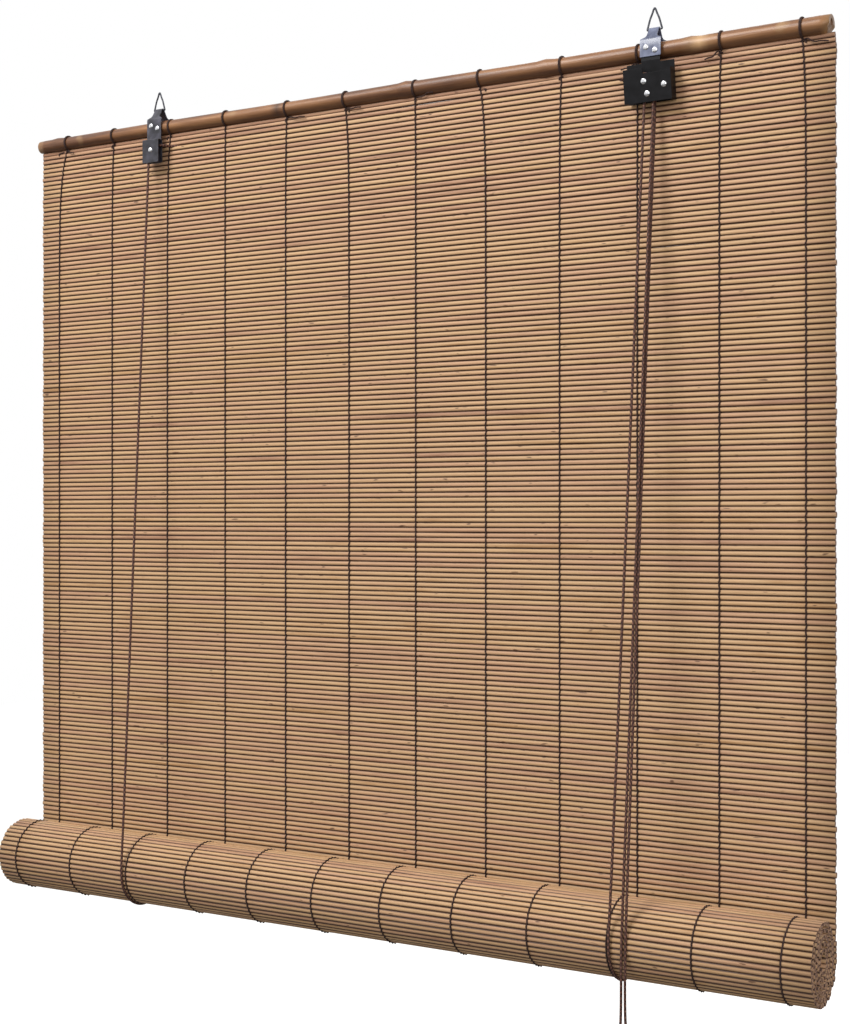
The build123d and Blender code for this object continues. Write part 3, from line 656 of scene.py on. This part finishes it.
def pressed_sheet(node, material):
    """The CAD node's sheet with its cut edges rounded, in the node's place."""
    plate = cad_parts[node].copy()
    plate.data = plate.data.copy()
    bpy.context.scene.collection.objects.link(plate)
    plate.name = f"{node}_sheet"
    plate.parent = None
    deselect()
    plate.select_set(True)
    bpy.context.view_layer.objects.active = plate
    bpy.ops.object.mode_set(mode="EDIT")
    bpy.ops.mesh.select_all(action="SELECT")
    bpy.ops.mesh.remove_doubles(threshold=0.00001)
    bpy.ops.mesh.dissolve_limited(angle_limit=math.radians(2))
    bpy.ops.object.mode_set(mode="OBJECT")
    rounded = plate.modifiers.new("rounded edges", "BEVEL")
    rounded.width = SHEET_EDGE_R
    rounded.segments = 2
    rounded.limit_method = "ANGLE"
    rounded.angle_limit = math.radians(50)
    bpy.ops.object.modifier_apply(modifier=rounded.name)
    bpy.ops.object.shade_smooth_by_angle(angle=math.radians(35))
    level = plate.modifiers.new("flat faces", "WEIGHTED_NORMAL")
    level.keep_sharp = True
    bpy.ops.object.modifier_apply(modifier=level.name)
    plate.data.materials.clear()
    plate.data.materials.append(material)
    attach(plate, "head")
    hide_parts(node)


pressed_sheet("left_hanger_strap", painted_steel("dark grey painted strap", "#26252C", "#4E4C58", 0.36))
# The right strap's blue grey colour is a painted reflection on its paint.
pressed_sheet("right_hanger_strap", painted_steel("strap with painted blue grey reflection", "#474D66", "#7C829A", 0.32))


# Pulley housing and cord lock: folded sheet steel in semi-matt black. The lock's front plate
# is stepped at the top and open at the left and below.
pressed_sheet("pulley_housing", painted_steel("grey black painted housing", "#1D1C22", "#403E48", 0.38))
pressed_sheet("lock_housing", painted_steel("black painted lock", "#060507", "#111013", 0.42, 0.2))


# Rings: triangles of round steel wire with rounded corners, dull with age, that hang in the
# straps' folds.
def bare_metal(name, dark, light, rough, scale=400.0):
    material, tree = new_material(name)
    place = add_node(tree, "ShaderNodeTexCoord")
    scuff = add_node(tree, "ShaderNodeTexNoise", Vector=place.outputs["Object"], Scale=scale, Detail=4.0)
    colour = ramp_node(tree, scuff.outputs["Fac"], [(0.3, dark), (0.7, light)])
    bump = add_node(tree, "ShaderNodeBump", Strength=0.1, Distance=0.0002, Height=scuff.outputs["Fac"])
    skin = add_node(tree, "ShaderNodeBsdfPrincipled", Metallic=1.0, Roughness=rough, Normal=bump.outputs[0])
    tree.links.new(colour.outputs[0], skin.inputs["Base Color"])
    end_material(tree, skin)
    return material


RING_WIRE_R = 0.001
RING_BEND = (0.0026, 0.0026, 0.0085)
RING_TOP_DROP = 0.0043
RING_BOW = 0.0007
wire = bare_metal("dull steel wire", "#2E2F34", "#5C5D63", 0.38)

for side in ("left", "right"):
    low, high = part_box(f"{side}_ring")
    corners = [Vector((low[0] + RING_WIRE_R, 0, low[2] + RING_WIRE_R)),
               Vector((high[0] - RING_WIRE_R, 0, low[2] + RING_WIRE_R)),
               Vector(((low[0] + high[0]) / 2, 0, high[2] - RING_TOP_DROP))]
    points = []
    for i, corner in enumerate(corners):
        before, after = corners[i - 1], corners[(i + 1) % 3]
        bow = Vector((RING_BOW * (0, 1, -1)[i], 0, 0))
        points += [corner + (before - corner).normalized() * RING_BEND[i], corner,
                   corner + (after - corner).normalized() * RING_BEND[i], (corner + after) / 2 + bow]
    bent = curve_piece(f"{side}_ring_wire", points, RING_WIRE_R, "NURBS", sides=4)
    bent.data.splines[0].use_cyclic_u = True
    bent.data.splines[0].use_endpoint_u = False
    ring = to_mesh(bent)
    ring.data.materials.append(wire)
    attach(ring, f"{side}_ring")
    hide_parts(f"{side}_ring")


# Rivets: bright plated steel, with low domed heads at the front and flatter ones behind. Two
# hold each strap, one the pulley, and three the lock's wheel, roller and cam.
nickel = bare_metal("nickel plated rivet", "#C4C4C8", "#F4F4F6", 0.2)
MM = 0.001
LOCK_LEAN = math.radians(8)
LOCK_DEEP = 12 * MM
HEAD_R = 3.0 * MM
DOME_H, REAR_H = 1.2 * MM, 0.8 * MM
STRAP_RIVETS = {"left_hanger_strap": -0.314, "right_hanger_strap": 0.318}
LOCK_RIVETS = ((0.314, 0.0195), (0.317, 0.0316), (0.335, 0.0246))
lock_out = Vector((0, -math.cos(LOCK_LEAN), -math.sin(LOCK_LEAN)))
lock_down = Vector((0, math.sin(LOCK_LEAN), -math.cos(LOCK_LEAN)))
right_strap_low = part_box("right_hanger_strap")[0]
lock_start = Vector((0, right_strap_low[1] + 2 * MM, -0.053))


def in_lock(x, down, out):
    """A place in the lock: down its leaning back plate and out from it."""
    return lock_start + Vector((x, 0, 0)) + lock_down * down + lock_out * out


def add_dome(name, centre, outward, height):
    """A rivet's head: a low dome on a face, made from the top of a ball."""
    deselect()
    bpy.ops.mesh.primitive_uv_sphere_add(segments=28, ring_count=14, radius=1)
    dome = bpy.context.object
    dome.name = name
    bpy.ops.object.mode_set(mode="EDIT")
    bpy.ops.mesh.select_all(action="SELECT")
    bpy.ops.mesh.bisect(plane_co=(0, 0, 0), plane_no=(0, 0, 1), clear_inner=True, use_fill=True)
    bpy.ops.object.mode_set(mode="OBJECT")
    turn = outward.to_track_quat("Z", "Y").to_matrix().to_4x4()
    dome.data.transform(Matrix.Translation(centre) @ turn @ Matrix.Diagonal((HEAD_R, HEAD_R, height, 1)))
    bpy.ops.object.shade_smooth_by_angle(angle=math.radians(50))
    dome.data.materials.append(nickel)
    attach(dome, "head")
    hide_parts("rivets")


front, back = Vector((0, -1, 0)), Vector((0, 1, 0))
for strap, x in STRAP_RIVETS.items():
    low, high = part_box(strap)
    for i, (across, z) in enumerate(((-0.0046, -0.0386), (0.0048, -0.0424))):
        add_dome(f"{strap}_rivet_{i + 1}", Vector((x + across, low[1], z)), front, DOME_H)
        add_dome(f"{strap}_rivet_{i + 1}_rear", Vector((x + across, high[1], z)), back, REAR_H)
housing_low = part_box("pulley_housing")[0]
add_dome("pulley_rivet_head", Vector((-0.313, housing_low[1], -0.069)), front, DOME_H)
for i, (x, down) in enumerate(LOCK_RIVETS):
    add_dome(f"lock_rivet_{i + 1}", in_lock(x, down, LOCK_DEEP), lock_out, DOME_H)
    add_dome(f"lock_rivet_{i + 1}_rear", in_lock(x, down, 0), -lock_out, REAR_H)


# Wheels, roller and cam: inside the housings, seen from below and from the lock's open side.
# The wheels are turned brass, the roller and the toothed cam plain steel.
def dress(node, material):
    """Gives a CAD node its finish and leaves its mesh alone."""
    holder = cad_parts[node]
    holder.data.materials.clear()
    holder.data.materials.append(material)


brass = bare_metal("turned brass wheel", "#8E6E34", "#B59452", 0.35)
steel = bare_metal("plain steel", "#77787D", "#A9AAAE", 0.32)
for node in ("pulley_wheel", "lock_pulley"):
    dress(node, brass)
for node in ("guide_roller", "lock_cam"):
    dress(node, steel)


# Lift cords: a round braid of brown polyester, 2.7 mm thick. Each is tied behind the pole, runs
# down behind the mat, under the roll and up its front, to the pulley or the lock.
def braided_cord():
    """A round braid: its plaits cross every 2 mm and show as a purplish brown diamond pattern."""
    material, tree = new_material("brown braided polyester")
    place = add_node(tree, "ShaderNodeTexCoord")
    shades = []
    for lean in (0.9, -0.9):
        way = add_node(tree, "ShaderNodeMapping", Vector=place.outputs["Object"], Rotation=(lean, lean, 0))
        wave = add_node(tree, "ShaderNodeTexWave", Vector=way.outputs[0], Scale=110.0, Distortion=0.6)
        shades.append(wave.outputs["Fac"])
    plait = add_node(tree, "ShaderNodeMath", {"operation": "MULTIPLY"}, _0=shades[0], _1=shades[1])
    colour = ramp_node(tree, plait.outputs[0], [(0.0, "#3A2019"), (0.5, "#6B4436"), (1.0, "#8A6150")])
    bump = add_node(tree, "ShaderNodeBump", Strength=0.7, Distance=0.0006, Height=plait.outputs[0])
    skin = add_node(tree, "ShaderNodeBsdfPrincipled", Roughness=0.7, Normal=bump.outputs[0])
    tree.links.new(colour.outputs[0], skin.inputs["Base Color"])
    end_material(tree, skin)
    return material


CORD_R = 1.35 * MM
CORD_GAP = 0.3 * MM
SLINGS = {"left": -0.305, "right": 0.3035}
CLEAR_OF_ROLL = 0.068
braid = braided_cord()
sling_low, sling_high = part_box("lift_cord_left_sling")
sling_r = (sling_high[1] - sling_low[1]) / 2 - CORD_R
front_y = roll_y - sling_r


def cord_piece(name, points, body, nodes, squash_from=None):
    """A round cord through the route's points, as a mesh in the place of CAD nodes."""
    cord = to_mesh(curve_piece(name, points, CORD_R, "NURBS", sides=4))
    cord.data.materials.append(braid)
    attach(cord, body)
    for node in nodes:
        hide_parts(node)
    if squash_from:
        shorten(cord, *squash_from)
    return cord


def between(start, end, share):
    return Vector(start) + share * (Vector(end) - Vector(start))


PULLEY = Vector((-0.313, 0, -0.069))
PULLEY_REACH = 5.1 * MM
LOCK_REACH = 7.7 * MM
LOCK_FOOT = 39.7 * MM
GROOVE_BACK, GROOVE_FRONT = 3.6 * MM, 8.4 * MM
TIE_Z = -0.056
ROLLER_R = 3.2 * MM
pulley_low, pulley_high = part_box("pulley_wheel")
pulley_y = (pulley_low[1] + pulley_high[1]) / 2
left_top = Vector((PULLEY.x - PULLEY_REACH, pulley_y, PULLEY.z))
right_top = in_lock(LOCK_RIVETS[1][0] - ROLLER_R - CORD_R - CORD_GAP, LOCK_FOOT, GROOVE_FRONT)
feet = {}
for side, top in (("left", left_top), ("right", right_top)):
    # The lowest stretch belongs to the sling: with the blind drawn up, it stays clear of the roll.
    foot = Vector((SLINGS[side], front_y, roll_z + CORD_GAP))
    feet[side] = between(foot, top, CLEAR_OF_ROLL / (top.z - foot.z))
    cord_piece(f"{side}_front_cord", [top, between(top, feet[side], 0.5), feet[side]], "head",
               [f"lift_cord_{side}_front"], (top.z, feet[side].z))

for side, x in SLINGS.items():
    turn = [feet[side], Vector((x, front_y, roll_z + 0.012))]
    # The curve runs inside its control points, which are set out a little further.
    r = sling_r / math.cos(math.pi / 24) ** 0.5
    for i in range(13):
        angle = math.pi * i / 12
        turn.append(Vector((x, roll_y - r * math.cos(angle), roll_z - r * math.sin(angle))))
    cord_piece(f"{side}_sling", turn, "lift_slings", [f"lift_cord_{side}_sling"])
    back_y = roll_y + sling_r
    low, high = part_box(f"{side}_hanger_strap")
    tied_at = Vector((x, high[1] + 3 * MM, TIE_Z))
    cord_piece(f"{side}_back_cord",
               [Vector((x, back_y, roll_z + CORD_GAP)), Vector((x, back_y, TIE_Z - 0.02)),
                Vector((x, back_y, TIE_Z - 0.004)), Vector((x, back_y - 0.002, TIE_Z)), tied_at], "head",
               [f"lift_cord_{side}_back"], (TIE_Z, roll_z))

# The left cord goes over its pulley, through the mat and along behind it to the lock, where it
# turns down over the wheel. The right one goes up past the roller and over the same wheel.
CROSS_LEFT_X, CROSS_RIGHT_X = -0.2965, 0.286
CROSS_Y = 5.2 * MM
WHEEL_X, WHEEL_DOWN = LOCK_RIVETS[0]
over = PULLEY.z + PULLEY_REACH
arrive = in_lock(WHEEL_X, WHEEL_DOWN - LOCK_REACH, GROOVE_BACK)
cross = [left_top, Vector((left_top.x, pulley_y, over)), Vector((CROSS_LEFT_X, pulley_y, over)),
         Vector((CROSS_LEFT_X, CROSS_Y, over)), Vector((0, CROSS_Y, (over + arrive.z) / 2)),
         Vector((CROSS_RIGHT_X, CROSS_Y, arrive.z)), Vector((CROSS_RIGHT_X, arrive.y, arrive.z)),
         in_lock(WHEEL_X + LOCK_REACH, WHEEL_DOWN - LOCK_REACH, GROOVE_BACK),
         in_lock(WHEEL_X + LOCK_REACH, LOCK_FOOT, GROOVE_BACK)]
cord_piece("left_cross_cord", cross, "head", ["lift_cord_left_cross"])
top_route = [right_top, in_lock(WHEEL_X - LOCK_REACH, WHEEL_DOWN + 0.005, GROOVE_FRONT),
             in_lock(WHEEL_X - LOCK_REACH, WHEEL_DOWN - LOCK_REACH, GROOVE_FRONT),
             in_lock(WHEEL_X + LOCK_REACH, WHEEL_DOWN - LOCK_REACH, GROOVE_FRONT),
             in_lock(WHEEL_X + LOCK_REACH, LOCK_FOOT, GROOVE_FRONT)]
cord_piece("right_top_cord", top_route, "head", ["lift_cord_right_top"])


# Pull cords: the lift cords' free ends. They hang from the lock in front of the roll to a hank,
# where the length that the photograph doesn't show is wound up and tied, and end in one knot.
PULL_X = (0.3165, 0.3205)
HANK_TOP, HANK_TALL, HANK_WIDE = -1.003, 0.064, 0.033
TURN_IN, TURN_OUT = 8.2 * MM, 15.1 * MM
LAYER_PITCH = 2.85 * MM
WINDS = 2.5
POINTS_A_TURN = 16

hank_x = sum(PULL_X) / 2
hank_z = HANK_TOP - HANK_TALL / 2
hank_side = HANK_TALL / 2 - HANK_WIDE / 2


def route_line(points):
    """The smooth line that a cord follows: its route's NURBS, read back as points."""
    guide = curve_piece("guide", points, 0, "NURBS")
    line = bpy.data.meshes.new_from_object(guide)
    ends = [guide.matrix_world @ vertex.co for vertex in line.vertices]
    bpy.data.objects.remove(guide)
    bpy.data.meshes.remove(line)
    return ends


def wind(side, y_from, y_to):
    """Turns wound inwards in one layer and outwards in the next, starting down the outer side."""
    points = []
    count = int(2 * WINDS * POINTS_A_TURN) + POINTS_A_TURN // 8
    for i in range(count + 1):
        turns = i / POINTS_A_TURN
        angle = math.pi + 2 * math.pi * turns
        inward = min(1.0, min(turns, count / POINTS_A_TURN - turns) / WINDS)
        r = TURN_OUT - (TURN_OUT - TURN_IN) * inward
        move = min(1.0, max(0.0, (turns - WINDS) * 4))
        rise = math.sin(angle)
        upright = hank_side * (1 if rise > 0.001 else -1 if rise < -0.001 else 0)
        points.append(Vector((hank_x + side * r * math.cos(angle), y_from + (y_to - y_from) * move,
                              hank_z + upright + r * rise)))
    return points


for i, x in enumerate(PULL_X):
    side = (1, -1)[i]
    leave = in_lock(WHEEL_X + LOCK_REACH, LOCK_FOOT, (GROOVE_FRONT, GROOVE_BACK)[i])
    foot = Vector((x, front_y, roll_z + CORD_GAP))
    bend = between(foot, leave, CLEAR_OF_ROLL / (leave.z - foot.z))
    upper = [leave, between(leave, bend, 0.02), bend]
    upper_line = route_line(upper)
    pull = cord_piece(f"pull_cord_{i + 1}_upper", upper, "head", [f"pull_cord_{i + 1}"], (leave.z, bend.z))
    near, far = ((-1.5, -0.5), (1.5, 0.5))[i]
    outer_x = hank_x - side * TURN_OUT
    near_y, far_y = front_y + near * LAYER_PITCH, front_y + far * LAYER_PITCH
    lower = [bend, foot, Vector((x, front_y, HANK_TOP + 0.030)),
             Vector((x, front_y + near * LAYER_PITCH * 0.6, HANK_TOP + 0.012)),
             Vector((x - side * 4 * MM, near_y, HANK_TOP + 0.003)),
             Vector((outer_x - side * 0.6 * MM, near_y, HANK_TOP - 0.006))]
    lower += wind(side, near_y, far_y)
    hank_foot = HANK_TOP - HANK_TALL
    lower += [Vector((hank_x - side * 9 * MM, far_y, hank_foot + 0.002)),
              Vector((hank_x - side * 3 * MM, front_y + far * LAYER_PITCH * 0.6, hank_foot - 0.006)),
              Vector((hank_x - side * 1.5 * MM, front_y, hank_foot - 0.014))]
    lower_line = route_line(lower)
    tail = cord_piece(f"pull_cord_{i + 1}_lower", lower, "lift_slings",
                      [f"pull_tail_{i + 1}", "pull_cord_hank"])


# Tie and end knot: three turns of a thinner cord of the same braid round the hank's waist, and
# one knot that holds both ends together. Both lie below the photograph's edge and are plain.
TIE_CORD_R = 1.1 * MM
TIE_CORNER = 0.35
TIE_TALL = 5.6 * MM
KNOT_R = 3.2 * MM
KNOT_LOOP_R = 2.7 * MM
tie_low, tie_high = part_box("hank_tie")
half_x = (tie_high[0] - tie_low[0]) / 2 - TIE_CORD_R
half_y = (tie_high[1] - tie_low[1]) / 2 - TIE_CORD_R
points = []
for i in range(49):
    angle = 2 * math.pi * i / 16
    wide = abs(math.cos(angle)) ** TIE_CORNER * math.copysign(1, math.cos(angle))
    deep = abs(math.sin(angle)) ** TIE_CORNER * math.copysign(1, math.sin(angle))
    points.append((hank_x + half_x * wide, front_y + half_y * deep, hank_z + (i / 48 - 0.5) * TIE_TALL))
tie = to_mesh(curve_piece("hank_wrap", points, TIE_CORD_R, "NURBS", sides=3))
tie.data.materials.append(braid)
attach(tie, "lift_slings")
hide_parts("hank_tie")

knot_place = (hank_x, front_y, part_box("pull_cord_knot")[0][2] + 4.4 * MM)
deselect()
bpy.ops.mesh.primitive_uv_sphere_add(segments=24, ring_count=16, radius=KNOT_R, location=knot_place)
lumps = [bpy.context.object]
for tilt in (0.5, -0.6, 1.5):
    bpy.ops.mesh.primitive_torus_add(major_radius=KNOT_LOOP_R, minor_radius=CORD_R, major_segments=28,
                                     minor_segments=10, location=knot_place, rotation=(tilt, tilt * 0.7, 0))
    lumps.append(bpy.context.object)
knot = join_pieces(lumps, "end_knot")
bpy.ops.object.transform_apply(location=True, rotation=True)
bpy.ops.object.shade_smooth()
knot.data.materials.append(braid)
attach(knot, "lift_slings")
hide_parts("pull_cord_knot")
